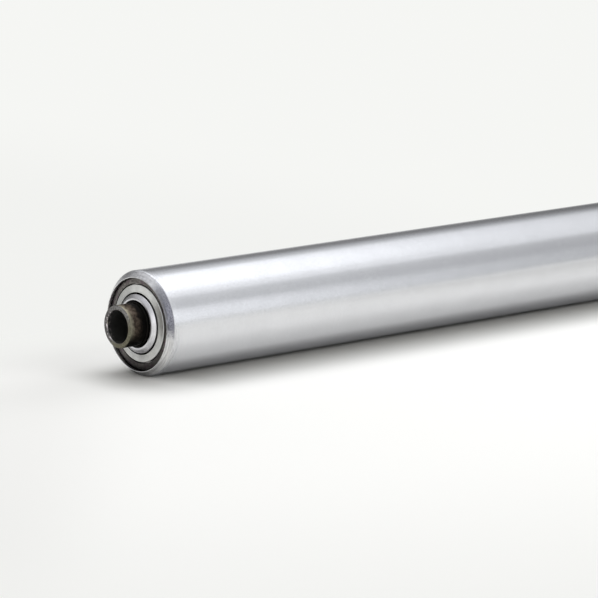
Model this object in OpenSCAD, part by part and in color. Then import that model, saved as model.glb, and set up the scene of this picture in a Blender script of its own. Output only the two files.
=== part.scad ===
// Gravity conveyor roller: a swaged steel tube that turns on two pressed full-complement ball
// bearings about a fixed hollow axle. Millimetres. The roller lies along Y with its middle at the
// origin; Z is up. "near" is the -Y end and "far" is the +Y end, and both ends are built alike.

/* [Tube] */
// Length of the tube over its two swaged ends
face_length = 300; // [120:1:1200]
// Outside diameter of the tube
tube_d = 42.7; // [41:0.1:60]
// Wall of the tube
tube_wall = 1.4; // [1.0:0.1:1.6]
// How far the swaged lip reaches in from the outside of the tube
lip_reach = 2.5; // [2.3:0.05:3.2]
// Length of the tube that the swaged bevel takes up
lip_length = 2.2; // [1.9:0.1:2.6]
// Width of the flat land at the lip's edge
lip_land = 0.3; // [0.25:0.05:0.5]
// Thickness of the lip at its edge, where the swaging has thinned it
lip_tip = 0.9; // [0.7:0.05:1.1]
// Outside radius of the bend between the tube and the bevel
lip_bend_r = 1.2; // [0.6:0.1:1.6]

/* [Axle] */
// Outside diameter of the hollow axle
axle_d = 17.3; // [14:0.1:18.3]
// Bore of the hollow axle
axle_bore_d = 13.5; // [8:0.1:13.7]
// How far the axle stands out past the tube at each end
axle_stick_out = 10; // [6:0.5:40]
// Chamfer on the outer edge of the axle's ends
axle_chamfer = 0.25; // [0.2:0.05:0.8]
// Chamfer on the inner edge of the axle's ends
bore_chamfer = 0.2; // [0.1:0.05:0.6]

/* [Bearing] */
// Diameter of a bearing ball
ball_d = 6.35; // [5:0.05:6.9]
// Gap between neighbouring balls, at least
ball_gap = 0.1; // [0.05:0.05:0.4]
// Radial play of a ball in its grooves
ball_play = 0.1; // [0.06:0.01:0.14]
// Width of the outer race along the axis
race_width = 9; // [8:0.5:12]
// How far each race's shoulders stand away from the balls' pitch circle
shoulder_rise = 1.8; // [1.4:0.1:2.2]
// Rounding of the outer race's outer corners
race_corner_r = 0.9; // [0.5:0.1:1.2]
// Wall of the pressed cup that holds the outer race
cup_wall = 1.5; // [1.0:0.1:1.6]
// Depth of the cup's face below the lip's plane
cup_setback = 1.2; // [1.15:0.05:1.6]
// Outside radius of the cup's front corner, under the swaged lip
cup_corner_r = 2.5; // [2.5:0.1:3.0]
// How far the cup's rolled rear lip reaches over the rear shield
cup_rear_reach = 0.9; // [0.5:0.1:1.5]
// Thickness of the rear shield
rear_shield_t = 0.8; // [0.5:0.1:1.2]

/* [Cover plate] */
// Sheet thickness of the cover plate
cover_t = 0.7; // [0.5:0.1:0.9]
// Width of the flat rim round the cover plate's dish
cover_rim = 0.6; // [0.4:0.1:1.0]
// Depth of the cover plate's rim below the lip's plane
cover_setback = 0.95; // [0.9:0.05:1.3]
// How far the cover plate rises from its rim to its hole
cover_dish = 0.45; // [0:0.05:0.45]
// How far the cover plate's skirt seats outside the race's shoulder
cover_seat = 0.38; // [0.2:0.02:0.6]
// How deep the cover plate's skirt is pressed into the outer race
cover_seat_depth = 0.9; // [0.6:0.1:1.1]

/* [Dust ring] */
// Radial gap between the axle and the dust ring's nose
dust_bore_gap = 0.95; // [0.85:0.05:1.1]
// Width of the dust ring's front between its nose bore and its rim
dust_width = 2.35; // [2.1:0.05:2.5]
// How far the dust ring's nose stands out past the lip's plane
dust_nose = 1; // [0.6:0.05:1.2]
// Depth of the dust ring's rim below the lip's plane
dust_setback = 0.25; // [0.15:0.05:0.5]
// Thickness of the dust ring at its rim
dust_rim_t = 0.8; // [0.6:0.05:1.0]
// Width of the gently sloping band round the dust ring's nose
dust_brow = 0.8; // [0.7:0.05:1.0]
// How far that band falls back from the nose bore to its outer edge
dust_brow_fall = 0.15; // [0.1:0.05:0.3]
// Radius of the dome that joins that band to the slope outside it
dust_dome_r = 1.4; // [0.8:0.1:1.4]
// How much smaller the dust ring's hub is than its rim, in radius
dust_hub_step = 0.85; // [0.6:0.05:1.0]

/* [Cone and snap ring] */
// Wall of the cone's sleeve that runs out under the dust ring
sleeve_wall = 0.6; // [0.4:0.05:0.7]
// Wall of the cone's spigot that carries the dust ring
spigot_wall = 1.75; // [1.4:0.05:1.9]
// Depth of the spigot's front face, where the dust ring stops
spigot_setback = 1.2; // [1.0:0.05:1.4]
// How far the cone's sleeve stands out past the lip's plane
sleeve_out = 0.9; // [0.5:0.05:1.0]
// Wire diameter of the snap ring on the axle
wire_d = 1; // [0.8:0.05:1.2]
// How deep the snap ring sits in the axle
wire_sunk = 0.45; // [0.3:0.05:0.5]
// Opening of the snap ring, in degrees
wire_opening = 24; // [10:1:60]

/* [Clearances] */
// Gap left by a press fit that is modelled line to line
press_gap = 0.01; // [0:0.005:0.02]
// Running gap between the dust ring and the cover plate
seal_gap = 0.65; // [0.5:0.05:0.9]
// Gap round the cover plate in the cup's window
window_gap = 0.4; // [0.2:0.05:0.6]
// Running gap between the rear shield and the cone
rear_gap = 0.5; // [0.3:0.05:0.8]
// Gap between the dust ring's hub and the cone's shoulder
hub_gap = 0.1; // [0.05:0.05:0.3]
// End play of the snap ring in its groove and against the cone
wire_gap = 0.05; // [0.02:0.01:0.1]

/* [Hidden] */
$fn = 96;
crisp_r = 0.15;   // rounding of a sheared or broken edge
soft_r = 0.3;     // rounding of a pressed or turned edge

tube_r = tube_d / 2;
tube_bore_r = tube_r - tube_wall;
lip_r = tube_r - lip_reach;
lip_root = lip_length + tube_wall / 2;   // where the lip's inside meets the tube's bore

axle_r = axle_d / 2;
axle_length = face_length + 2 * axle_stick_out;

cup_r = tube_bore_r - press_gap;
cup_in_r = cup_r - cup_wall;
race_front = cup_setback + cup_wall;
race_back = race_front + race_width;
race_mid = (race_front + race_back) / 2;
race_r = cup_in_r - press_gap;
cup_back = race_back + rear_shield_t + cup_wall;

ball_r = ball_d / 2;
pitch_r = (cup_in_r + axle_r) / 2;
groove_r = ball_r + ball_play;
ball_count = floor(180 / asin((ball_r + ball_gap / 2) / pitch_r));
outer_shoulder_r = pitch_r + shoulder_rise;
cone_shoulder_r = pitch_r - shoulder_rise;

cone_bore_r = axle_r + press_gap;
sleeve_r = axle_r + sleeve_wall;
spigot_r = axle_r + spigot_wall;
cone_back = race_back + rear_shield_t;

dust_bore_r = axle_r + dust_bore_gap;
dust_r = dust_bore_r + dust_width;
dust_hub_r = dust_r - dust_hub_step;
dust_back = race_front - hub_gap;

cover_r = outer_shoulder_r + cover_seat;
cover_hole_r = dust_r + seal_gap;
cover_back = race_front + cover_seat_depth - press_gap;
window_r = cover_r + window_gap;

wire_r = wire_d / 2;
wire_ring_r = axle_r - wire_sunk + wire_r;
wire_mid = -sleeve_out - wire_gap - wire_r;
groove_half = wire_r + wire_gap;

ENDS = ["near", "far"];

function ball_name(end, i) = str("ball_", end, "_", i < 9 ? "0" : "", i + 1);

// ---- Profiles: x is the radius, y is the depth from the lip's plane into the roller ----

function unit(v) = v / norm(v);

// The sliver that rounds corner p, which lies between the edges towards a and towards b
module corner_sliver(a, p, b, radius) {
    to_a = unit(a - p);
    to_b = unit(b - p);
    half = acos(to_a * to_b) / 2;
    run = radius / tan(half);
    inwards = unit(to_a + to_b);
    difference() {
        polygon([p - inwards * radius, p + to_a * run, p + to_b * run]);
        translate(p + inwards * radius / sin(half)) circle(radius);
    }
}

// A closed outline of [x, y, corner radius] points, each outward corner rounded by a true arc
module rounded_outline(points) {
    last = len(points) - 1;
    spot = [for (p = points) [p[0], p[1]]];
    difference() {
        polygon(spot);
        for (i = [0:last]) if (points[i][2] > 0)
            corner_sliver(spot[i == 0 ? last : i - 1], spot[i], spot[i == last ? 0 : i + 1],
                          points[i][2]);
    }
}

// Turns a profile about the roller's axis, from the lip's plane of the end that is asked for
module turned(end, angle = 360, start = 0) {
    mirror([0, end == "far" ? 1 : 0, 0])
        translate([0, -face_length / 2, 0])
            rotate([-90, 0, 0]) rotate([0, 0, start]) rotate_extrude(angle = angle) children();
}

// ---- The turning shell ----

module swaged_half() {
    rounded_outline([
        [lip_r, 0, crisp_r],
        [lip_r + lip_land, 0, crisp_r],
        [tube_r, lip_length, lip_bend_r],
        [tube_r, face_length / 2, 0],
        [tube_bore_r, face_length / 2, 0],
        [tube_bore_r, lip_root, 0],
        [lip_r, lip_tip, crisp_r]
    ]);
}

module tube() {
    color("silver") turned("near") {
        swaged_half();
        translate([0, face_length]) mirror([0, 1]) swaged_half();
    }
}

module bearing_cup(end) {
    rear_lip_r = cup_in_r - cup_rear_reach;
    color([0.28, 0.25, 0.24]) turned(end) rounded_outline([
        [window_r, cup_setback, crisp_r],
        [cup_r, cup_setback, cup_corner_r],
        [cup_r, cup_back, cup_wall],
        [rear_lip_r, cup_back, crisp_r],
        [rear_lip_r, cup_back - cup_wall, 0],
        [cup_in_r, cup_back - cup_wall, 0],
        [cup_in_r, race_front, 0],
        [window_r, race_front, 0]
    ]);
}

module outer_race(end) {
    color([0.45, 0.44, 0.43]) turned(end) difference() {
        rounded_outline([
            [cover_r + press_gap, race_front, 0],
            [race_r, race_front, race_corner_r],
            [race_r, race_back, race_corner_r],
            [outer_shoulder_r, race_back, soft_r],
            [outer_shoulder_r, race_front + cover_seat_depth, 0],
            [cover_r + press_gap, race_front + cover_seat_depth, 0]
        ]);
        translate([pitch_r, race_mid]) circle(groove_r);
    }
}

module rear_shield(end) {
    hole_r = cone_shoulder_r + rear_gap;
    color([0.62, 0.62, 0.6]) turned(end) rounded_outline([
        [hole_r, race_back, crisp_r],
        [race_r, race_back, 0],
        [race_r, race_back + rear_shield_t, 0],
        [hole_r, race_back + rear_shield_t, crisp_r]
    ]);
}

module cover_plate(end) {
    hole_front = cover_setback - cover_dish;
    color([0.78, 0.78, 0.75]) turned(end) rounded_outline([
        [cover_hole_r, hole_front, soft_r],
        [cover_r - cover_rim, cover_setback, 0],
        [cover_r, cover_setback, soft_r],
        [cover_r, cover_back, crisp_r],
        [cover_r - cover_t, cover_back, crisp_r],
        [cover_r - cover_t, cover_setback + cover_t, 0],
        [cover_hole_r, hole_front + cover_t, crisp_r]
    ]);
}

// ---- What stays still with the axle ----

module axle() {
    middle = axle_length / 2;
    color([0.35, 0.31, 0.25]) rotate([-90, 0, 0]) difference() {
        cylinder(r = axle_r, h = axle_length, center = true);
        cylinder(r = axle_bore_d / 2, h = axle_length + 2, center = true);
        for (side = [0, 1]) mirror([0, 0, side]) {
            translate([0, 0, middle]) end_chamfers();
            translate([0, 0, face_length / 2 - wire_mid]) snap_groove();
        }
    }
}

// Cuts both edges of a pipe end that faces +Z at the origin
module end_chamfers() {
    bore_r = axle_bore_d / 2;
    rotate_extrude() {
        polygon([[axle_r - axle_chamfer, 0], [axle_r + 1, -axle_chamfer - 1], [axle_r + 1, 1],
                 [axle_r - axle_chamfer, 1]]);
        polygon([[bore_r - 1, 1], [bore_r - 1, -bore_chamfer - 1], [bore_r + bore_chamfer, 0],
                 [bore_r + bore_chamfer, 1]]);
    }
}

module snap_groove() {
    groove_floor_r = axle_r - wire_sunk - press_gap;
    difference() {
        cylinder(r = axle_r + 1, h = 2 * groove_half, center = true);
        cylinder(r = groove_floor_r, h = 2 * groove_half + 1, center = true);
    }
}

module cone(end) {
    color([0.16, 0.15, 0.15]) turned(end) difference() {
        rounded_outline([
            [cone_bore_r, -sleeve_out, 0],
            [sleeve_r, -sleeve_out, crisp_r],
            [sleeve_r, spigot_setback, 0],
            [spigot_r, spigot_setback, crisp_r],
            [spigot_r, race_front, 0],
            [cone_shoulder_r, race_front, soft_r],
            [cone_shoulder_r, cone_back, soft_r],
            [cone_bore_r, cone_back, crisp_r]
        ]);
        translate([pitch_r, race_mid]) circle(groove_r);
    }
}

module dust_ring(end) {
    seat_r = spigot_r + press_gap;
    color([0.86, 0.86, 0.88]) turned(end) rounded_outline([
        [dust_bore_r, -dust_nose, crisp_r],
        [dust_bore_r + dust_brow, dust_brow_fall - dust_nose, dust_dome_r],
        [dust_r, dust_setback, soft_r],
        [dust_r, dust_setback + dust_rim_t, crisp_r],
        [dust_hub_r, dust_setback + dust_rim_t, 0],
        [dust_hub_r, dust_back, crisp_r],
        [seat_r, dust_back, crisp_r],
        [seat_r, spigot_setback - press_gap, 0],
        [dust_bore_r, spigot_setback - press_gap, 0]
    ]);
}

module snap_ring(end) {
    color([0.2, 0.19, 0.18]) turned(end, 360 - wire_opening, 150 + wire_opening / 2)
        translate([wire_ring_r, wire_mid]) circle(wire_r);
}

// ---- The balls, which run between the two ----

module ball(end, i) {
    side = end == "far" ? 1 : -1;
    color([0.75, 0.76, 0.78]) rotate([0, 360 / ball_count * i, 0])
        translate([0, side * (face_length / 2 - race_mid), pitch_r]) sphere(ball_r);
}

tube();
axle();
for (end = ENDS) {
    bearing_cup(end);
    outer_race(end);
    cone(end);
    rear_shield(end);
    cover_plate(end);
    dust_ring(end);
    snap_ring(end);
    for (i = [0:ball_count - 1]) ball(end, i);
}
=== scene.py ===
# %% [markdown]
# # A gravity conveyor roller
# A steel tube turns on two ball bearings about a fixed hollow axle. Nearly every piece is turned or pressed
# round one axis, so this lesson shows how one small node tree can sweep many outlines, and how plated,
# pressed and oiled steel are told apart by roughness, colour and the marks that each process leaves.
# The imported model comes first. It is the fixed frame that every piece here has to fit.

# %% Load the frame
import math

import bpy
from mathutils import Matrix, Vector


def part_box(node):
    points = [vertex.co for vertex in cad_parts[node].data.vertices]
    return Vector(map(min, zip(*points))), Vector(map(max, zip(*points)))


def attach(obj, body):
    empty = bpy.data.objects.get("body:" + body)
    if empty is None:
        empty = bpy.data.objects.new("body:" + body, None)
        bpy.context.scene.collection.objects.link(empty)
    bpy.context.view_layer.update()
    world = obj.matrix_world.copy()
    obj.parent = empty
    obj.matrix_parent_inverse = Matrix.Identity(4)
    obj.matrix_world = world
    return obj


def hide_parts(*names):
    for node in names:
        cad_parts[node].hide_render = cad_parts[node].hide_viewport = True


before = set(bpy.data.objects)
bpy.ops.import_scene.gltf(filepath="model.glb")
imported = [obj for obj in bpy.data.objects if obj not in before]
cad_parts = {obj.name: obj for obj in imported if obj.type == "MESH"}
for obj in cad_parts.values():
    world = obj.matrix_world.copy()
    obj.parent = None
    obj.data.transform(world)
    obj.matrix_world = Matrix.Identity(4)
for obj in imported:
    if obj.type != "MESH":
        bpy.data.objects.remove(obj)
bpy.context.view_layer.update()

MM = 0.001
scene = bpy.context.scene
scene.view_settings.view_transform = "Standard"
ENDS = ("near", "far")

# %% [markdown]
# ## Sizes that come from the frame
# The roller lies along Y with its middle at the origin. Each end has a lip plane, where the swaged edge of
# the tube stops. Depths are measured from that plane into the roller, so both ends share one set of
# outlines, and a depth below zero stands out past the tube.

# %% Read the main sizes
tube_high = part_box("tube")[1]
axle_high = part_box("axle")[1]
half_face = tube_high.y
tube_r = tube_high.x
axle_r = axle_high.x
axle_out = axle_high.y - half_face
# A box doesn't tell a bore, so this one is given.
axle_bore_r = 6.75 * MM


def depth_range(node):
    """How deep a near-end piece starts and ends below the lip plane."""
    low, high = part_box(node)
    return low.y + half_face, high.y + half_face


def reach(node):
    """The largest radius of a turned piece."""
    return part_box(node)[1].x


print("tube radius", round(tube_r / MM, 2), "axle radius", round(axle_r / MM, 2), "mm")

# %% [markdown]
# ## The camera
# A long lens a metre and a half away keeps the two sides of the tube nearly parallel. The camera is turned
# about half way between the end and the side of the roller and looks down a little. The roller's near end
# sits left of the middle of the view, and the tube runs out of it on the right.

# %% Place the camera
view_turn = math.radians(49.03)
view_drop = math.radians(10.5)
view_distance = 1.473
lens_length = 222.2
sensor_width = 36
lip_left_of_middle = 0.06466
lip_below_middle = 0.0099

ahead = Vector((-math.sin(view_turn) * math.cos(view_drop), math.cos(view_turn) * math.cos(view_drop),
                -math.sin(view_drop)))
rightwards = Vector((math.cos(view_turn), math.sin(view_turn), 0))
upwards = rightwards.cross(ahead)
lip_centre = Vector((0, -half_face, 0))

camera = bpy.data.objects.new("camera", bpy.data.cameras.new("camera"))
scene.collection.objects.link(camera)
camera.data.sensor_width = sensor_width
camera.data.lens = lens_length
camera.data.clip_end = 50
camera.rotation_euler = (math.pi / 2 - view_drop, 0, view_turn)
camera.location = (lip_centre - ahead * view_distance + rightwards * lip_left_of_middle
                   + upwards * lip_below_middle)
scene.camera = camera
print("camera at", [round(c, 3) for c in camera.location])

# %% [markdown]
# ## Building materials from nodes
# A node is easier to read when its inputs are given by name, so one helper adds a node and fills its
# inputs with values or with other nodes' outputs. All patterns on the roller use Object coordinates turned
# to millimetres, so a scale of 1 means one feature to the millimetre.


# %% A helper for nodes
def add(tree, kind, inputs=None, **settings):
    """Adds a node. An input, by name or number, is given a value or another node's output."""
    node = tree.nodes.new(kind)
    for key, value in settings.items():
        setattr(node, key, value)
    for key, value in (inputs or {}).items():
        if isinstance(value, bpy.types.NodeSocket):
            tree.links.new(value, node.inputs[key])
        else:
            node.inputs[key].default_value = value
    return node


def calculate(tree, operation, *values):
    """One Math node. Returns its output."""
    return add(tree, "ShaderNodeMath", dict(enumerate(values)), operation=operation).outputs[0]


def product(tree, *values):
    """Multiplies any number of outputs or numbers."""
    result = values[0]
    for value in values[1:]:
        result = calculate(tree, "MULTIPLY", result, value)
    return result


def inverse(tree, value):
    """One minus a share."""
    return calculate(tree, "SUBTRACT", 1.0, value)


def ramp(tree, value, low, high, start=0.0, end=1.0):
    """Maps value smoothly from low..high to start..end. Returns the output."""
    node = add(tree, "ShaderNodeMapRange", {"Value": value, "From Min": low, "From Max": high,
                                            "To Min": start, "To Max": end},
               interpolation_type="SMOOTHSTEP")
    return node.outputs[0]


def mix(tree, share, a, b):
    """Mixes two colours by share, which counts as 1 when it is above. Returns the output."""
    node = add(tree, "ShaderNodeMix", {"Factor": share}, data_type="RGBA")
    for socket, value in ((node.inputs[6], a), (node.inputs[7], b)):
        if isinstance(value, bpy.types.NodeSocket):
            tree.links.new(value, socket)
        else:
            socket.default_value = (*value, 1)
    return node.outputs[2]


def scaled(tree, vector, factor):
    """A vector or colour times one number."""
    return add(tree, "ShaderNodeVectorMath", {0: vector, "Scale": factor}, operation="SCALE").outputs[0]


def describe(*materials):
    """Prints what was made."""
    for material in materials:
        print("finish", material.name, "has", len(material.node_tree.nodes), "nodes")


# %% [markdown]
# ## Coordinates of a turned part
# Marks on a turned or drawn part follow its axis. A node group gives each point its place in millimetres,
# its radius, its depth below the nearer lip plane, and a direction round the axis. The direction is
# a point on a circle and not an angle, so no pattern has a seam where an angle would jump.


# %% The node group for turned coordinates
def make_turned_coordinates():
    tree = bpy.data.node_groups.new("turned_coordinates", "ShaderNodeTree")
    for name, kind in (("Place", "NodeSocketVector"), ("Round", "NodeSocketVector"),
                       ("Radius", "NodeSocketFloat"), ("Depth", "NodeSocketFloat")):
        tree.interface.new_socket(name, in_out="OUTPUT", socket_type=kind)
    place = scaled(tree, add(tree, "ShaderNodeTexCoord").outputs["Object"], 1 / MM)
    across = add(tree, "ShaderNodeVectorMath", {0: place, 1: (1, 0, 1)}, operation="MULTIPLY").outputs[0]
    radius = add(tree, "ShaderNodeVectorMath", {0: across}, operation="LENGTH").outputs["Value"]
    round_axis = add(tree, "ShaderNodeVectorMath", {0: across}, operation="NORMALIZE").outputs[0]
    along = add(tree, "ShaderNodeSeparateXYZ", {0: place}).outputs["Y"]
    depth = calculate(tree, "SUBTRACT", half_face / MM, calculate(tree, "ABSOLUTE", along))
    out = tree.nodes.new("NodeGroupOutput")
    for name, socket in (("Place", place), ("Round", round_axis), ("Radius", radius), ("Depth", depth)):
        tree.links.new(socket, out.inputs[name])
    return tree


turned_coordinates = make_turned_coordinates()
print("turned coordinates give", [item.name for item in turned_coordinates.interface.items_tree])

# %% [markdown]
# ## What every metal here shares
# Each finish starts as plain metal with the turned coordinates. What tells one from another is where its
# marks lie, so a few more helpers say it in a maker's words: noise for what is uneven, lines stretched
# round the axis, a side that a mark lies towards, and a bump with a real depth.


# %% Helpers for metal
def start_metal(name, grazing_tint):
    """A new metal material. Its mirror turns to the grazing tint at flat angles, as worn metal does."""
    material = bpy.data.materials.new(name)
    material.use_nodes = True
    tree = material.node_tree
    shader = tree.nodes["Principled BSDF"]
    shader.inputs["Metallic"].default_value = 1
    shader.inputs["Specular Tint"].default_value = (*grazing_tint, 1)
    place = add(tree, "ShaderNodeGroup", node_tree=turned_coordinates).outputs
    return material, tree, shader, place


def noise(tree, vector, scale, detail=3.0, roughness=0.5):
    """A noise value from 0 to 1."""
    node = add(tree, "ShaderNodeTexNoise", {"Vector": vector, "Scale": scale, "Detail": detail,
                                            "Roughness": roughness})
    return node.outputs[0]


def stretched(tree, place, round_scale, other, other_scale):
    """Coordinates for marks that run round the axis: slow round it, fast along radius or depth."""
    slow = scaled(tree, place["Round"], round_scale)
    fast = calculate(tree, "MULTIPLY", other, other_scale)
    step = add(tree, "ShaderNodeCombineXYZ", {"Y": fast}).outputs[0]
    return add(tree, "ShaderNodeVectorMath", {0: slow, 1: step}, operation="ADD").outputs[0]


def towards(tree, place, degrees):
    """How far a point lies towards one side of the axis: 1 there, 0 at right angles, -1 opposite."""
    side = (math.cos(math.radians(degrees)), 0, math.sin(math.radians(degrees)))
    node = add(tree, "ShaderNodeVectorMath", {0: place["Round"], 1: side}, operation="DOT_PRODUCT")
    return node.outputs["Value"]


def bump(tree, shader, height, depth_mm, strength, before=None):
    """Raises the surface by height times a depth in millimetres, on top of a bump before it."""
    inputs = {"Height": height, "Distance": depth_mm * MM, "Strength": strength}
    if before is not None:
        inputs["Normal"] = before
    normal = add(tree, "ShaderNodeBump", inputs).outputs[0]
    tree.links.new(normal, shader.inputs["Normal"])
    return normal


# %% [markdown]
# ## The tube's finish
# The barrel is a bright plated tube, drawn and polished lengthwise, so it mirrors its surroundings softly.
# The two ends were swaged in over the bearings by a rolling tool. That work dulls and mottles the plating
# and leaves streaks that run round the tube for a few millimetres past the bevel. On one side of the near
# end there is also a blue-grey stain. All of it is one material, chosen by depth and by side, and noise
# moves the inner border of the worked metal and the stain's two ends, so that neither looks drawn.


# %% Where the rolling tool worked
def worked_ends(tree, place, blotches):
    """The share of worked metal near both lips, and the depth with its border moved by the blotches."""
    wandering = calculate(tree, "ADD", place["Depth"], ramp(tree, blotches, 0.3, 0.7, -0.5, 0.5))
    return ramp(tree, wandering, 2.5, 1.5), wandering


def tool_streaks(tree, place, wandering):
    """How strongly the streaks show, and their height. They are strongest low on +X and at the top."""
    streaks = noise(tree, stretched(tree, place, 2.6, place["Depth"], 2.4), 1.0, detail=5, roughness=0.65)
    side = calculate(tree, "MAXIMUM", ramp(tree, towards(tree, place, -38), 0.55, 0.9),
                     ramp(tree, towards(tree, place, 88), 0.8, 0.97))
    shown = product(tree, ramp(tree, wandering, 6.5, 2.0), side, ramp(tree, streaks, 0.42, 0.62))
    raised = product(tree, streaks, ramp(tree, place["Depth"], 7.0, 2.5), side)
    return shown, raised


def worked_colour(tree, place, blotches):
    """Dull mottled plating. It is painted a little darker underneath as shade, and painted brighter on -X
    and low on +X as a sheen.
    """
    dull = mix(tree, ramp(tree, blotches, 0.36, 0.64), (0.54, 0.54, 0.555), (0.77, 0.77, 0.78))
    # Painted shade: darker underneath.
    shaded_below = ramp(tree, towards(tree, place, -110), 0.5, 0.95, 0, 0.2)
    dull = mix(tree, shaded_below, dull, (0.27, 0.26, 0.26))
    # Painted sheen: brighter on -X and low on +X.
    bright_metal = calculate(tree, "MAXIMUM", ramp(tree, towards(tree, place, 195), 0.3, 0.8, 0, 0.9),
                      ramp(tree, towards(tree, place, -48), 0.6, 0.95, 0, 0.8))
    return mix(tree, bright_metal, dull, (0.88, 0.88, 0.88))


# %% The stain on the near end's bevel
def bevel_stain(tree, place, blotches):
    """Where the stain lies: on the +X side of the near end's bevel. It fades towards its upper end."""
    along = add(tree, "ShaderNodeSeparateXYZ", {0: place["Place"]}).outputs["Y"]
    near_end = ramp(tree, along, 1, -1)
    ragged = calculate(tree, "ADD", towards(tree, place, 26),
                       ramp(tree, blotches, 0.3, 0.7, -0.05, 0.05))
    on_bevel = product(tree, ramp(tree, place["Depth"], 0.1, 0.6, 0.75, 1.0),
                       ramp(tree, place["Depth"], 2.35, 1.95))
    fading = ramp(tree, towards(tree, place, 62), 0.8, 1.0, 1.0, 0.75)
    return product(tree, ramp(tree, ragged, 0.78, 0.94), on_bevel, near_end, fading)


def stain_colour(tree, place, blotches, grain):
    """Blue-grey grain, with dark pits beside the lip's edge."""
    stained = mix(tree, ramp(tree, grain, 0.36, 0.62), (0.065, 0.065, 0.09), (0.35, 0.355, 0.4))
    pits = product(tree, ramp(tree, place["Depth"], 0.9, 0.3, 0, 0.8), ramp(tree, blotches, 0.42, 0.54))
    return mix(tree, pits, stained, (0.02, 0.02, 0.025))


# %% Tube steel
def make_tube_steel():
    material, tree, shader, place = start_metal("plated_tube", (0.8, 0.8, 0.82))
    blotches = noise(tree, place["Place"], 0.9, detail=6, roughness=0.62)
    grain = noise(tree, place["Place"], 3.4, detail=5, roughness=0.6)
    clouds = noise(tree, place["Place"], 0.09, detail=4)
    sparkle = noise(tree, place["Place"], 1.3, detail=5, roughness=0.7)
    lengthwise = add(tree, "ShaderNodeVectorMath", {0: place["Place"], 1: (6, 0.02, 6)},
                     operation="MULTIPLY").outputs[0]
    polishing_lines = noise(tree, lengthwise, 1.0, detail=4)
    worked, wandering = worked_ends(tree, place, blotches)
    streaked, raised = tool_streaks(tree, place, wandering)

    barrel = mix(tree, ramp(tree, clouds, 0.3, 0.7), (0.771, 0.78, 0.801), (0.796, 0.805, 0.826))
    colour = mix(tree, worked, barrel, worked_colour(tree, place, blotches))
    colour = mix(tree, product(tree, streaked, 0.5), colour, (0.34, 0.34, 0.35))
    colour = mix(tree, bevel_stain(tree, place, blotches), colour,
                 stain_colour(tree, place, blotches, grain))
    colour = mix(tree, ramp(tree, sparkle, 0.35, 0.65, 0.1, 0.0), colour, (0.3, 0.3, 0.31))
    tree.links.new(colour, shader.inputs["Base Color"])

    smooth = calculate(tree, "ADD", ramp(tree, polishing_lines, 0.3, 0.7, 0.215, 0.245),
                       ramp(tree, clouds, 0.3, 0.7, 0.005, -0.005))
    smooth = calculate(tree, "ADD", smooth, product(tree, streaked, 0.14))
    rough = ramp(tree, blotches, 0.3, 0.7, 0.4, 0.28)
    both = add(tree, "ShaderNodeMix", {"Factor": worked, 2: smooth, 3: rough}).outputs[0]
    tree.links.new(both, shader.inputs["Roughness"])

    fine = product(tree, polishing_lines, inverse(tree, worked))
    normal = bump(tree, shader, fine, 0.002, 0.5)
    normal = bump(tree, shader, raised, 0.024, 0.6, before=normal)
    pitted = product(tree, calculate(tree, "ADD", blotches, grain), worked)
    bump(tree, shader, pitted, 0.04, 0.5, before=normal)
    return material


tube_steel = make_tube_steel()
describe(tube_steel)

# %% [markdown]
# ## Pressed and plated rings
# The cover plate is pressed from matt zinc-plated sheet, and the dust ring is turned and brightly plated.
# Both carry faint concentric lines. A line pattern of radius alone looks like a record, so the noise also
# changes slowly round the axis, which breaks each line into arcs.


# %% Plated rings
def make_ring_finish(name, colour, darker, roughness, line_depth, painted_shade_side=90, painted_shade_amount=0.0):
    """Plated or ground metal with faint rings. One side can be painted darker, as shade."""
    material, tree, shader, place = start_metal(name, (0.8, 0.8, 0.8))
    rings = noise(tree, stretched(tree, place, 1.6, place["Radius"], 7.0), 1.0, detail=3)
    clouds = noise(tree, place["Place"], 0.35, detail=4)
    speckle = noise(tree, place["Place"], 3.2, detail=4, roughness=0.6)
    tone = calculate(tree, "ADD", product(tree, clouds, 0.6), product(tree, speckle, 0.4))
    colour = mix(tree, ramp(tree, tone, 0.35, 0.65), darker, colour)
    # Painted shade: one side is mixed towards near black.
    painted_shade_share = ramp(tree, towards(tree, place, painted_shade_side), 0.1, 0.95, 0, painted_shade_amount)
    tree.links.new(mix(tree, painted_shade_share, colour, (0.1, 0.1, 0.1)), shader.inputs["Base Color"])
    tree.links.new(ramp(tree, rings, 0.25, 0.75, roughness - 0.05, roughness + 0.06),
                   shader.inputs["Roughness"])
    normal = bump(tree, shader, rings, line_depth, 0.6)
    bump(tree, shader, speckle, line_depth * 0.8, 0.4, before=normal)
    return material


cover_zinc = make_ring_finish("matt_zinc", (0.7, 0.705, 0.69), (0.56, 0.565, 0.555), 0.38, 0.012,
                              painted_shade_side=165, painted_shade_amount=0.4)
dust_ring_steel = make_ring_finish("bright_plate", (0.84, 0.835, 0.86), (0.7, 0.7, 0.725), 0.32, 0.008,
                                   painted_shade_side=105, painted_shade_amount=0.28)
describe(cover_zinc, dust_ring_steel)
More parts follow.
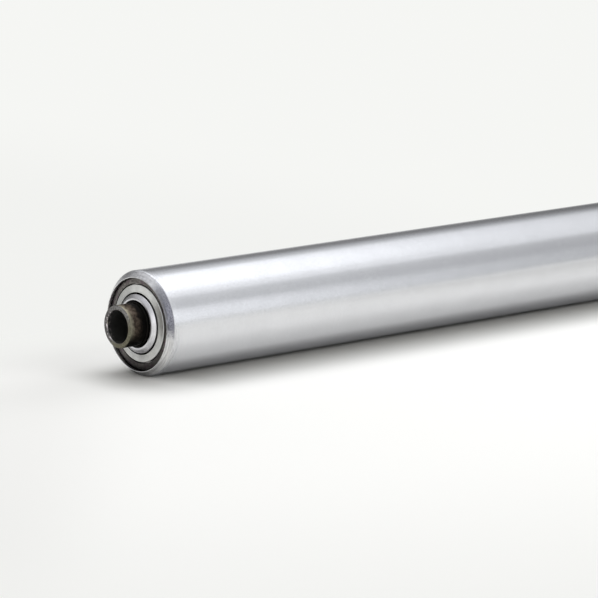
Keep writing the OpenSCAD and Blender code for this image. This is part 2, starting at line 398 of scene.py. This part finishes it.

# %% [markdown]
# ## Dark steels
# The bearing cup is a pressing left in its dark heat-treatment skin, brown-grey with hints of purple, and
# its lower side is painted near black as shade. The cone and the snap ring are blackened and oily, and so
# nearly black that they also paint the shade in the gap round the axle. One function makes them all from
# two colours and a roughness, and a side that is painted darker as shade.


# %% Dark steels
def make_dark_steel(name, light, dark, roughness, tint=None, shadowed_side=None):
    """Dark steel in patches of two tones, with a heat tint and a painted shade on one side where asked for.
    """
    material, tree, shader, place = start_metal(name, (0.7, 0.7, 0.7))
    patches = noise(tree, place["Place"], 0.8, detail=5, roughness=0.65)
    grain = noise(tree, place["Place"], 4.0, detail=3)
    colour = mix(tree, ramp(tree, patches, 0.35, 0.65), dark, light)
    if tint:
        heat = ramp(tree, noise(tree, place["Place"], 0.45, detail=2), 0.54, 0.66)
        colour = mix(tree, heat, colour, tint)
    # Painted shade: the chosen side is mixed towards near black.
    if shadowed_side is not None:
        ragged = calculate(tree, "ADD", towards(tree, place, shadowed_side),
                           ramp(tree, patches, 0.3, 0.7, -0.1, 0.1))
        colour = mix(tree, ramp(tree, ragged, 0.55, 0.85, 0, 0.7), colour, (0.02, 0.018, 0.018))
    tree.links.new(colour, shader.inputs["Base Color"])
    tree.links.new(ramp(tree, grain, 0.3, 0.7, roughness - 0.07, roughness + 0.08),
                   shader.inputs["Roughness"])
    normal = bump(tree, shader, patches, 0.03, 0.5)
    bump(tree, shader, grain, 0.012, 0.5, before=normal)
    return material


cup_steel = make_dark_steel("heat_skin", (0.215, 0.203, 0.192), (0.085, 0.08, 0.077), 0.42,
                            tint=(0.13, 0.095, 0.115), shadowed_side=-75)
# Near black: blackened oily steel, and also painted shade for the gap round the axle.
cone_steel = make_dark_steel("oiled_black_and_shade", (0.008, 0.0075, 0.007), (0.004, 0.004, 0.004), 0.65)
spring_steel = make_dark_steel("spring_black_and_shade", (0.014, 0.013, 0.012), (0.007, 0.007, 0.006), 0.6)
describe(cup_steel, cone_steel, spring_steel)

# %% [markdown]
# ## The axle
# The axle is a cut pipe. Its end face and chamfers are bare steel from the saw and the countersink. Just
# behind them the skin is lightly worn to an olive grey. Further in it is brown with old oil and thin rust,
# and beside the bearing it is near black, partly grease and partly painted shade. Its upper side carries a
# painted highlight and its underside a painted shade. The bore is plain drawn steel, but it looks black,
# because hardly any light gets in.


# %% The axle's skin and its sawn face
# Near black: real grease, and also painted shade beside the bearing and under the axle.
GREASE_AND_SHADE = (0.008, 0.0075, 0.007)
end_mm = axle_out / MM
bore_mm = axle_bore_r / MM


def axle_skin(tree, place, out, patches, grain):
    """Grease and painted shade beside the bearing, then brown oil, then worn steel. The top has a painted
    highlight.
    """
    wander = calculate(tree, "ADD", out, ramp(tree, patches, 0.3, 0.7, -0.4, 0.4))
    oiled = mix(tree, ramp(tree, patches, 0.35, 0.65), (0.04, 0.03, 0.023), (0.12, 0.094, 0.073))
    worn = mix(tree, ramp(tree, grain, 0.35, 0.65), (0.22, 0.2, 0.15), (0.31, 0.29, 0.22))
    # Painted shade, partly grease: near black beside the bearing.
    skin = mix(tree, ramp(tree, wander, 3.6, 6.6), GREASE_AND_SHADE, oiled)
    skin = mix(tree, ramp(tree, wander, 7.2, 9.8), skin, worn)
    # Painted highlight: the upper side's colour is scaled up by as much as 1.75.
    return scaled(tree, skin, ramp(tree, towards(tree, place, 82), 0.5, 0.95, 1.0, 1.75))


def sawn_face(tree, place):
    """Bare steel, darkened with oil on -X and olive low on +X."""
    mottle = noise(tree, place["Place"], 1.5, detail=5, roughness=0.6)
    bare = mix(tree, ramp(tree, mottle, 0.38, 0.62), (0.1, 0.096, 0.094), (0.3, 0.295, 0.29))
    olive = mix(tree, ramp(tree, mottle, 0.35, 0.65), (0.11, 0.102, 0.074), (0.21, 0.2, 0.15))
    oil = ramp(tree, towards(tree, place, 180), 0.3, 0.9, 0, 0.58)
    bare = mix(tree, oil, bare, (0.05, 0.045, 0.047))
    return mix(tree, ramp(tree, towards(tree, place, -45), -0.1, 0.7), bare, olive)


def broken_edge(tree, place, out):
    """Where the saw broke the bore's edge away and left bright steel: on -X, in patches."""
    at_mouth = product(tree, ramp(tree, place["Radius"], bore_mm + 0.95, bore_mm + 0.55),
                       ramp(tree, out, end_mm - 2.1, end_mm - 1.6))
    patches = noise(tree, place["Place"], 0.9, detail=5, roughness=0.6)
    return product(tree, at_mouth, ramp(tree, towards(tree, place, 180), 0.5, 0.75),
                   ramp(tree, patches, 0.49, 0.58))


# %% Axle steel
def make_axle_steel():
    material, tree, shader, place = start_metal("pipe_steel", (0.75, 0.74, 0.72))
    out = product(tree, place["Depth"], -1.0)
    patches = noise(tree, place["Place"], 0.7, detail=5, roughness=0.6)
    grain = noise(tree, place["Place"], 3.5, detail=4)

    cut_face = ramp(tree, out, end_mm - 0.3, end_mm - 0.22)
    colour = mix(tree, cut_face, axle_skin(tree, place, out, patches, grain), sawn_face(tree, place))
    # Painted shade: the skin's underside is mixed towards near black.
    shaded_underside = product(tree, ramp(tree, towards(tree, place, -90), 0.0, 0.8), inverse(tree, cut_face))
    colour = mix(tree, shaded_underside, colour, GREASE_AND_SHADE)
    in_bore = ramp(tree, place["Radius"], bore_mm + 0.09, bore_mm + 0.03)
    colour = mix(tree, in_bore, colour, (0.26, 0.255, 0.25))
    colour = mix(tree, broken_edge(tree, place, out), colour, (0.66, 0.62, 0.62))
    tree.links.new(colour, shader.inputs["Base Color"])

    roughness = ramp(tree, grain, 0.3, 0.7, 0.36, 0.5)
    tree.links.new(roughness, shader.inputs["Roughness"])
    normal = bump(tree, shader, patches, 0.03, 0.5)
    rings = noise(tree, stretched(tree, place, 2.0, place["Radius"], 6.0), 1.0, detail=3)
    bump(tree, shader, rings, 0.012, 0.5, before=normal)
    return material


axle_steel = make_axle_steel()
describe(axle_steel)

# %% [markdown]
# ## Hidden bearing steel
# The balls and the outer race can be seen only when the roller is taken apart, but they are finished too:
# the balls polished, with dark grease on the side that faces out, and the race ground round the axis.


# %% Ball and race steel
def make_ball_steel():
    material, tree, shader, place = start_metal("polished_ball", (1, 1, 1))
    shader.inputs["Roughness"].default_value = 0.08
    clouds = noise(tree, place["Place"], 0.5, detail=3)
    bright_metal = mix(tree, clouds, (0.74, 0.74, 0.76), (0.82, 0.82, 0.84))
    greased = ramp(tree, place["Depth"], 6.4, 5.6)
    tree.links.new(mix(tree, greased, bright_metal, (0.03, 0.026, 0.02)), shader.inputs["Base Color"])
    return material


ball_steel = make_ball_steel()
race_steel = make_ring_finish("ground_race", (0.46, 0.45, 0.44), (0.38, 0.37, 0.36), 0.28, 0.006)
describe(ball_steel, race_steel)

# %% [markdown]
# ## Outlines with rounded corners
# A turned part is one closed outline of radius and depth. Few real edges are sharp, so each corner names
# its own rounding, and a helper replaces a rounded corner with a true arc. The arc starts and ends where
# it touches the two straight edges.


# %% A helper for outlines
def rounded(corners, steps=6):
    """Points of a closed outline. Each corner is (radius, depth or place along Y, rounding), in metres."""
    points = []
    count = len(corners)
    for i, (x, y, rounding) in enumerate(corners):
        corner = Vector((x, y))
        if rounding == 0:
            points.append(corner)
            continue
        before = (Vector(corners[i - 1][:2]) - corner).normalized()
        after = (Vector(corners[(i + 1) % count][:2]) - corner).normalized()
        half = before.angle(after) / 2
        middle = corner + (before + after).normalized() * rounding / math.sin(half)
        first = corner + before * rounding / math.tan(half) - middle
        last = corner + after * rounding / math.tan(half) - middle
        turn = math.atan2(first.x * last.y - first.y * last.x, first.dot(last))
        for k in range(steps + 1):
            a = turn * k / steps
            points.append(middle + Vector((first.x * math.cos(a) - first.y * math.sin(a),
                                           first.x * math.sin(a) + first.y * math.cos(a))))
    return points


# %% [markdown]
# ## One node tree that turns every outline
# Spinning an outline is a sweep round a circle, which is what Curve to Mesh does: the outline is the
# profile and a tiny circle is the path. The tree then lays the result along the Y axis and gives it its
# material. The inputs are named, so the same tree makes a tube or a thin ring.


# %% The turning tree
def make_turning_tree():
    """Outline in, turned piece out. The outline has to start nearer the axis by the path's radius."""
    tree = bpy.data.node_groups.new("turn_outline", "GeometryNodeTree")
    face = tree.interface
    face.new_socket("Outline", in_out="INPUT", socket_type="NodeSocketGeometry")
    face.new_socket("Steps round", in_out="INPUT", socket_type="NodeSocketInt")
    face.new_socket("Path radius", in_out="INPUT", socket_type="NodeSocketFloat")
    face.new_socket("Material", in_out="INPUT", socket_type="NodeSocketMaterial")
    face.new_socket("Turned piece", in_out="OUTPUT", socket_type="NodeSocketGeometry")
    given = tree.nodes.new("NodeGroupInput").outputs
    outline = add(tree, "GeometryNodeMeshToCurve", {"Mesh": given["Outline"]}).outputs["Curve"]
    path = add(tree, "GeometryNodeCurvePrimitiveCircle", {"Resolution": given["Steps round"],
                                                          "Radius": given["Path radius"]}).outputs["Curve"]
    swept = add(tree, "GeometryNodeCurveToMesh", {"Curve": path, "Profile Curve": outline}).outputs["Mesh"]
    lying = add(tree, "GeometryNodeTransform", {"Geometry": swept,
                                                "Rotation": (math.pi / 2, 0, 0)}).outputs["Geometry"]
    real = add(tree, "GeometryNodeRealizeInstances", {"Geometry": lying}).outputs["Geometry"]
    painted = add(tree, "GeometryNodeSetMaterial", {"Geometry": real,
                                                    "Material": given["Material"]}).outputs["Geometry"]
    out = tree.nodes.new("NodeGroupOutput")
    tree.links.new(painted, out.inputs["Turned piece"])
    return tree


turning_tree = make_turning_tree()
PATH_RADIUS = 1 * MM
print("the turning tree has", len(turning_tree.nodes), "nodes")


# %% Run the tree and smooth its result
def run_tree(name, start_mesh, tree, settings):
    """Runs a node tree on start_mesh and returns its result as a plain object."""
    piece = bpy.data.objects.new(name, start_mesh)
    scene.collection.objects.link(piece)
    modifier = piece.modifiers.new("make", "NODES")
    modifier.node_group = tree
    sockets = {item.name: item.identifier for item in tree.interface.items_tree if item.in_out == "INPUT"}
    for key, value in settings.items():
        modifier[sockets[key]] = value
    made = bpy.data.meshes.new_from_object(piece.evaluated_get(bpy.context.evaluated_depsgraph_get()))
    piece.modifiers.remove(modifier)
    piece.data = made
    made.name = name
    return piece


def finish_surface(piece, sharp_angle=30):
    """Points the faces outwards and smooths all but the real edges."""
    mesh = piece.data
    corners = [v.co for v in mesh.vertices]
    volume = 0
    for face in mesh.polygons:
        a = corners[face.vertices[0]]
        for i in range(1, len(face.vertices) - 1):
            volume += a.dot(corners[face.vertices[i]].cross(corners[face.vertices[i + 1]]))
    if volume < 0:
        mesh.flip_normals()
    mesh.shade_smooth()
    mesh.set_sharp_from_angle(angle=math.radians(sharp_angle))
    return piece


def turned_piece(name, corners, material, end=None, steps_round=192):
    """Turns an outline about the roller's axis. With an end, depths count from that end's lip plane."""
    outline = rounded(corners)
    if end:
        side = 1 if end == "far" else -1
        outline = [Vector((p.x, side * (half_face - p.y))) for p in outline]
    count = len(outline)
    start = bpy.data.meshes.new(name + "_outline")
    start.from_pydata([(p.x - PATH_RADIUS, p.y, 0) for p in outline],
                      [(i, (i + 1) % count) for i in range(count)], [])
    piece = run_tree(name, start, turning_tree,
                     {"Steps round": steps_round, "Path radius": PATH_RADIUS, "Material": material})
    finish_surface(piece)
    print(name, len(piece.data.polygons), "faces")
    return piece


# %% [markdown]
# ## The tube and its swaged ends
# The tube is a plain pipe whose two ends were rolled inwards. The bevel is thinner at its edge, where the
# tool stretched it. A rolled hole is never quite central, so the bevel is wider on one side than on
# the other, and its edge has a few small nicks and a burr. Extra rings of points on the bevel leave
# room for them.

# %% Turn the tube
CRISP = 0.15 * MM
SOFT = 0.3 * MM
tube_wall = 1.4 * MM
tube_bore_r = tube_r - tube_wall
lip_reach = 2.5 * MM
lip_r = tube_r - lip_reach
lip_land = 0.3 * MM
lip_length = 2.2 * MM
lip_root = lip_length + tube_wall / 2
lip_tip = 0.9 * MM
bend_r = 1.2 * MM
bend_end = 5 * MM


def tube_outline():
    """Both ends' lips, outside first and then back through the bore."""
    bevel = [(lip_r + lip_land + step * (tube_r - lip_r - lip_land), step * lip_length, 0)
             for step in (0.2, 0.4, 0.6)]
    half = [(lip_r, 0, CRISP), (lip_r + lip_land, 0, CRISP), *bevel, (tube_r, lip_length, bend_r),
            (tube_r, bend_end, 0), (tube_r, half_face, 0)]
    inside = [(tube_bore_r, lip_root, 0), (lip_r, lip_tip, CRISP)]
    near = [(x, y - half_face, r) for x, y, r in half]
    far = [(x, half_face - y, r) for x, y, r in reversed(half[:-1])]
    bore = [(x, half_face - y, r) for x, y, r in reversed(inside)]
    bore += [(x, y - half_face, r) for x, y, r in inside]
    return near + far + bore


# %% Mark the tube's lips
def swaging_marks(piece):
    """Moves each end's hole off centre, and presses nicks and raises burrs in its edge."""
    # How far each hole lies off centre, in X and Z. Side -1 is the near end.
    off_centre = {-1: (-0.36 * MM, -0.45 * MM), 1: (0.2 * MM, -0.15 * MM)}
    inside_from = 0.35 * MM
    # Each mark: side, degrees round, width in degrees, how far the edge stands out (a nick: below zero)
    marks = [(-1, -80, 2.2, 0.22 * MM), (-1, -3, 1.2, -0.18 * MM), (-1, 96, 2.5, -0.1 * MM),
             (-1, 152, 2.0, -0.12 * MM), (-1, -128, 3.0, -0.08 * MM), (1, 40, 2.5, -0.15 * MM),
             (1, 205, 2.0, 0.15 * MM)]
    for vertex in piece.data.vertices:
        x, y, z = vertex.co
        side = -1 if y < 0 else 1
        depth = half_face - abs(y)
        radius = math.hypot(x, z)
        if depth > lip_root:
            continue
        on_inside = depth > radius - lip_r + inside_from
        root_r = tube_bore_r if on_inside else tube_r
        share = max(0, min(1, (root_r - radius) / (root_r - lip_r)))
        dx, dz = off_centre[side]
        vertex.co.x += dx * share
        vertex.co.z += dz * share
        for mark_side, degrees, width, height in marks:
            if mark_side == side:
                apart = (math.degrees(math.atan2(z, x)) - degrees + 180) % 360 - 180
                vertex.co.y += side * height * share * math.exp(-(apart / width) ** 2)


tube = turned_piece("roller_tube", tube_outline(), tube_steel, steps_round=360)
swaging_marks(tube)
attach(tube, "roller")
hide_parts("tube")

# %% [markdown]
# ## The bearing cup
# Inside each lip lies the dark face of the bearing cup, a deep-drawn shell that is pressed into the tube.
# Its outer corner is a wide soft bend, as drawing leaves it. Cups, plates and dust rings are made at both
# ends and stand in for the frame's plain ones, so one helper says what belongs to each.


# %% Turn the bearing cups
def add_rings(name, corners, material, body):
    """Turns a ring for both ends, in place of the frame's plain one."""
    for end in ENDS:
        piece = turned_piece(f"turned_{name}_{end}", corners, material, end)
        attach(piece, body)
        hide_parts(f"{name}_{end}")


cup_front, cup_back = depth_range("bearing_cup_near")
cup_r = reach("bearing_cup_near")
cup_wall = 1.5 * MM
cup_corner = 2.5 * MM
cup_lip_r = cup_r - 2.4 * MM
cup_inside_r = cup_r - cup_wall
window_r = reach("cover_plate_near") + 0.4 * MM

cup_corners = [(window_r, cup_front, CRISP), (cup_r, cup_front, cup_corner), (cup_r, cup_back, cup_wall),
               (cup_lip_r, cup_back, CRISP), (cup_lip_r, cup_back - cup_wall, 0),
               (cup_inside_r, cup_back - cup_wall, 0), (cup_inside_r, cup_front + cup_wall, 0),
               (window_r, cup_front + cup_wall, 0)]
add_rings("bearing_cup", cup_corners, cup_steel, "roller")

# %% [markdown]
# ## The cover plate
# A pale plate of thin sheet fills the cup's window. It is dished a little, with a bent rim and a raised
# edge round its hole, and it turns with the tube.

# %% Turn the cover plates
cover_r = reach("cover_plate_near")
cover_front, cover_back = depth_range("cover_plate_near")
cover_t = 0.7 * MM
cover_rim_r = cover_r - 0.6 * MM
cover_inside_r = cover_r - cover_t
cover_hole_r = reach("dust_ring_near") + 0.65 * MM
rim_front = cover_front + 0.45 * MM
knee_r = cover_hole_r + 0.6 * MM
knee_front = cover_front + 0.2 * MM

cover_corners = [(cover_hole_r, cover_front, CRISP), (knee_r, knee_front, 0), (cover_rim_r, rim_front, 0),
                 (cover_r, rim_front, SOFT), (cover_r, cover_back, CRISP),
                 (cover_inside_r, cover_back, CRISP), (cover_inside_r, rim_front + cover_t, 0),
                 (cover_hole_r, cover_front + cover_t, CRISP)]
add_rings("cover_plate", cover_corners, cover_zinc, "roller")

# %% [markdown]
# ## The dust ring
# The bright ring round the axle is domed at its nose and bevelled outwards. It stays with the axle while
# the plate turns round it, so a thin gap runs between the two.

# %% Turn the dust rings
dust_r = reach("dust_ring_near")
dust_back = depth_range("dust_ring_near")[1]
dust_bore_r = dust_r - 2.35 * MM
dust_nose = -1.0 * MM
brow_r = dust_bore_r + 0.8 * MM
brow_front = dust_nose + 0.15 * MM
brow_dome = 1.4 * MM
dust_rim_front = 0.25 * MM
dust_rim_back = dust_rim_front + 0.8 * MM
dust_hub_r = dust_r - 0.85 * MM
spigot_r = axle_r + 1.75 * MM
spigot_front = 1.2 * MM

dust_corners = [(dust_bore_r, dust_nose, CRISP), (brow_r, brow_front, brow_dome),
                (dust_r, dust_rim_front, SOFT), (dust_r, dust_rim_back, CRISP),
                (dust_hub_r, dust_rim_back, 0), (dust_hub_r, dust_back, CRISP),
                (spigot_r, dust_back, CRISP), (spigot_r, spigot_front, 0), (dust_bore_r, spigot_front, 0)]
add_rings("dust_ring", dust_corners, dust_ring_steel, "axle")

# %% [markdown]
# ## The axle
# The axle is the same tree again: one outline of a pipe with chamfered ends and a groove near each end for
# the snap ring.

# %% Turn the axle
chamfer = 0.25 * MM
bore_chamfer = 0.2 * MM
groove_floor_r = axle_r - 0.46 * MM
groove_outer = half_face + 2.0 * MM
groove_inner = half_face + 0.9 * MM


def axle_outline():
    """One end's mouth, chamfers and groove, then the other's, and the bore between them."""
    end_y = half_face + axle_out
    outer = [(axle_bore_r + bore_chamfer, end_y, 0),
             (axle_r - chamfer, end_y, 0), (axle_r, end_y - chamfer, 0),
             (axle_r, groove_outer, 0), (groove_floor_r, groove_outer, 0),
             (groove_floor_r, groove_inner, 0), (axle_r, groove_inner, 0)]
    near = [(x, -y, r) for x, y, r in outer]
    far = list(reversed(outer))
    bore = [(axle_bore_r, end_y - bore_chamfer, 0), (axle_bore_r, bore_chamfer - end_y, 0)]
    return near + far + bore


def saw_marks(piece):
    """Breaks the bore's edge away on the -X side of both ends, a little more here and there."""
    near_enough = 0.01 * MM
    for vertex in piece.data.vertices:
        x, y, z = vertex.co
        radius = math.hypot(x, z)
        turn = math.atan2(z, -x)
        side = max(0, math.cos(turn)) ** 2
        extra = side * (0.18 + 0.1 * math.sin(7 * turn + 1) + 0.07 * math.sin(17 * turn)) * MM
        if abs(radius - axle_bore_r - bore_chamfer) < near_enough:
            wider = 1 + extra / radius
            vertex.co.x, vertex.co.z = x * wider, z * wider
        elif radius < axle_bore_r + near_enough and abs(y) > half_face:
            vertex.co.y = y - math.copysign(extra, y)


axle = turned_piece("hollow_axle", axle_outline(), axle_steel)
saw_marks(axle)
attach(axle, "axle")
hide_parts("axle")

# %% [markdown]
# ## Finishing the pieces that stay as they are
# The cones, snap rings, races, shields and balls already have their right shape in the frame. They only
# need their material, which goes into the mesh's own slots.

# %% Materials on the frame's own nodes
finishes = {"cone": cone_steel, "snap_ring": spring_steel, "outer_race": race_steel,
            "rear_shield": cover_zinc, "ball": ball_steel}
finished = 0
for name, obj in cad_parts.items():
    for start, material in finishes.items():
        if name.startswith(start):
            obj.data.materials.clear()
            obj.data.materials.append(material)
            finished += 1
print(finished, "plain nodes finished")

# %% [markdown]
# ## The floor
# The floor is a sheet of white paper. It takes the roller's soft shadow near by, and away from the roller
# it turns into an even pale tone, so that no horizon shows. Soft lamps alone leave the paper too bright
# close under the roller, so a painted shadow darkens the sheet's colour there. The metal mirrors its own
# version of the sheet, with painted light and shade: a painted shadow right below the tube, a painted
# bright strip from about two centimetres out, and painted dimming out on the +X side towards the far end.


# %% The paper's shades
def seen_paper(tree, place, spot, to_end):
    """The paper as the camera sees it, with a painted shadow under the roller, and a little darker on the
    left.
    """
    # Painted shadow: a soft band under the roller and a little past its ends, darkened towards a warm near
    # black.
    shade = product(tree, ramp(tree, spot["X"], -0.03, -0.002),
                    ramp(tree, spot["X"], 0.006, 0.052, 0.59, 0.0),
                    ramp(tree, to_end, -0.018, 0.002, 1.0, 0.52), ramp(tree, to_end, 0.002, 0.03, 1.0, 0.0))
    leftwards = add(tree, "ShaderNodeVectorMath", {0: place, 1: tuple(-rightwards)},
                    operation="DOT_PRODUCT").outputs["Value"]
    pale = product(tree, inverse(tree, shade), ramp(tree, leftwards, 0.095, 0.15, 1.0, 0.93))
    return mix(tree, pale, (0.03, 0.025, 0), (1.0, 1.0, 0.99))


def mirrored_paper(tree, spot, to_end):
    """The paper as the metal mirrors it and as it lights the metal from below, with painted shadow and
    light.
    """
    # Painted light and shade: a bright strip beside the tube, shadow below it and at its ends, brighter on
    # -X, dimmer far out on +X.
    painted_bright_strip = product(tree, ramp(tree, spot["X"], 0.003, 0.0065, 0.55, 1.0),
                    ramp(tree, spot["X"], 0.0095, 0.0262, 0.55, 1.5),
                    ramp(tree, spot["X"], 0.032, 0.046, 1.0, 0.7))
    painted_end_shade = ramp(tree, to_end, 0.0, 0.012, 0.41, 1.0)
    painted_left_light = ramp(tree, spot["X"], -0.02, -0.004, 1.1, 0.3)
    painted_light = calculate(tree, "MAXIMUM", calculate(tree, "MAXIMUM", painted_bright_strip, painted_end_shade), painted_left_light)
    painted_far_dimming = product(tree, ramp(tree, spot["Y"], -0.08, 0.2), ramp(tree, spot["X"], 0.02, 0.12, 0.1, 0.26))
    return mix(tree, product(tree, painted_light, inverse(tree, painted_far_dimming)), (0, 0, 0), (0.9, 0.895, 0.88))


def even_share(tree, spot, to_end):
    """How far the paper has turned into the even tone, by its distance from the axis. -X turns sooner."""
    gap = add(tree, "ShaderNodeCombineXYZ", {"X": spot["X"], "Y": calculate(tree, "MAXIMUM", 0, to_end)})
    away = add(tree, "ShaderNodeVectorMath", {0: gap.outputs[0]}, operation="LENGTH").outputs["Value"]
    return calculate(tree, "MAXIMUM", ramp(tree, away, 0.16, 0.46), ramp(tree, spot["X"], -0.025, -0.1))


# %% Floor
BACKDROP = (0.885, 0.89, 0.87)


def make_floor_paper():
    material = bpy.data.materials.new("floor_paper")
    material.use_nodes = True
    tree = material.node_tree
    shader = tree.nodes["Principled BSDF"]
    shader.inputs["Roughness"].default_value = 0.9
    shader.inputs["Specular IOR Level"].default_value = 0.1
    rays = add(tree, "ShaderNodeLightPath").outputs
    place = add(tree, "ShaderNodeTexCoord").outputs["Object"]
    spot = add(tree, "ShaderNodeSeparateXYZ", {0: place}).outputs
    to_end = calculate(tree, "SUBTRACT", calculate(tree, "ABSOLUTE", spot["Y"]), half_face)
    paper = mix(tree, rays["Is Camera Ray"], mirrored_paper(tree, spot, to_end),
                seen_paper(tree, place, spot, to_end))
    tree.links.new(paper, shader.inputs["Base Color"])

    in_sight = calculate(tree, "MAXIMUM", rays["Is Camera Ray"], rays["Is Glossy Ray"])
    even = add(tree, "ShaderNodeEmission", {"Color": (*BACKDROP, 1),
                                            "Strength": ramp(tree, spot["Y"], 0.05, 0.3, 1.0, 1.035)})
    both = add(tree, "ShaderNodeMixShader", {0: product(tree, even_share(tree, spot, to_end), in_sight),
                                             1: shader.outputs[0], 2: even.outputs[0]})
    tree.links.new(both.outputs[0], tree.nodes["Material Output"].inputs["Surface"])
    return material


floor_size = 8.0
floor_mesh = bpy.data.meshes.new("floor")
floor_mesh.from_pydata([(x * floor_size, y * floor_size, -tube_r)
                        for x, y in ((-1, -1), (1, -1), (1, 1), (-1, 1))], [], [(0, 1, 2, 3)])
floor_mesh.materials.append(make_floor_paper())
floor = bpy.data.objects.new("floor", floor_mesh)
scene.collection.objects.link(floor)
describe(floor_mesh.materials[0])

# %% [markdown]
# ## The lamps
# Two softboxes hang over the roller and draw the white band along the tube: the long one gives the band its
# length, and the short one makes it brighter at the near end. Panels stand right, far right, left and in
# front, so that the barrel and the end's rings have something to mirror. Three more lamps, which the metal
# doesn't mirror, stand on the left, behind and on the right, and shape the shadow.


# %% A helper for lamps
def softbox(name, centre, aim, width, height, radiance, colour=(1, 1, 1), mirrored=True):
    """A rectangular lamp that faces a point. Its face glows with the given radiance."""
    lamp = bpy.data.lights.new(name, "AREA")
    lamp.shape = "RECTANGLE"
    lamp.size, lamp.size_y = width, height
    lamp.energy = radiance * math.pi * width * height
    lamp.color = colour
    holder = bpy.data.objects.new(name, lamp)
    holder.location = centre
    holder.rotation_euler = (Vector(aim) - Vector(centre)).to_track_quat("-Z", "Y").to_euler()
    holder.visible_camera = False
    holder.visible_glossy = mirrored
    scene.collection.objects.link(holder)
    return holder


def seen_from_middle(azimuth, elevation, distance=1.4):
    """A place for a lamp. Azimuth counts from +X towards +Y, in degrees."""
    a, e = math.radians(azimuth), math.radians(elevation)
    return Vector((math.cos(e) * math.cos(a), math.cos(e) * math.sin(a), math.sin(e))) * distance


# %% Lights
COOL = (0.965, 0.975, 1.0)
MIDDLE = (0, 0, 0)
# The long softbox is turned a little, so the band climbs slightly towards the far end.
long_lamp = softbox("overhead_long", (-0.005, 0.15, 0.8), (-0.005, 0.15, 0), 1.05, 1.9, 0.38, COOL)
long_lamp.rotation_euler.z += math.radians(2.5)
softbox("overhead_short", (-0.115, -0.06, 0.79), (-0.115, -0.06, 0), 0.77, 1.48, 0.36, COOL)
softbox("right_panel", (1.44, 0.42, 0.4), MIDDLE, 1.3, 0.7, 0.5, COOL)
softbox("far_panel", (1.3, 1.55, 0.4), MIDDLE, 1.1, 0.6, 0.09, COOL)
softbox("left_panel", (-1.2, -1.1, 0.25), MIDDLE, 1.2, 0.6, 0.45)
softbox("front_panel", (0.95, -1.55, 0.45), MIDDLE, 1.2, 0.9, 0.6)
softbox("shadow_lamp_left", seen_from_middle(150, 60), MIDDLE, 0.9, 0.6, 2.1, mirrored=False)
softbox("shadow_lamp_back", seen_from_middle(95, 25), MIDDLE, 0.8, 0.5, 2.8, mirrored=False)
softbox("shadow_lamp_right", seen_from_middle(12, 25), MIDDLE, 1.0, 0.8, 2.8, mirrored=False)

# %% [markdown]
# ## The room
# Bright metal shows the room as much as the lamps. The room is pale overhead and a little darker low on
# the +X side. Low on the -X side it is dim, apart from the backdrop's own tone along the horizon, and it
# darkens towards +Y, behind the roller's far end. The camera sees only the even backdrop, and whatever
# isn't a mirror takes one soft grey light from all round.


# %% Room
def make_studio_world():
    world = bpy.data.worlds.new("studio")
    world.use_nodes = True
    tree = world.node_tree
    direction = add(tree, "ShaderNodeTexCoord").outputs["Generated"]
    way = add(tree, "ShaderNodeSeparateXYZ", {0: direction}).outputs
    left = mix(tree, ramp(tree, way["Z"], 0.07, 0.17), BACKDROP, (0.25, 0.25, 0.248))
    low = mix(tree, ramp(tree, way["X"], -0.15, 0.25), left, (0.652, 0.66, 0.679))
    room = mix(tree, ramp(tree, way["Z"], 0.36, 0.62), low, (0.768, 0.775, 0.795))
    room = mix(tree, ramp(tree, way["Y"], 0.6, 0.76, 0.0, 0.45), room, (0.0, 0.0, 0.0))
    rays = add(tree, "ShaderNodeLightPath").outputs
    room = mix(tree, rays["Is Glossy Ray"], (0.37, 0.366, 0.352), room)
    room = mix(tree, rays["Is Camera Ray"], room, BACKDROP)
    tree.links.new(room, tree.nodes["Background"].inputs["Color"])
    return world


scene.world = make_studio_world()
print("world", scene.world.name, "has", len(scene.world.node_tree.nodes), "nodes")
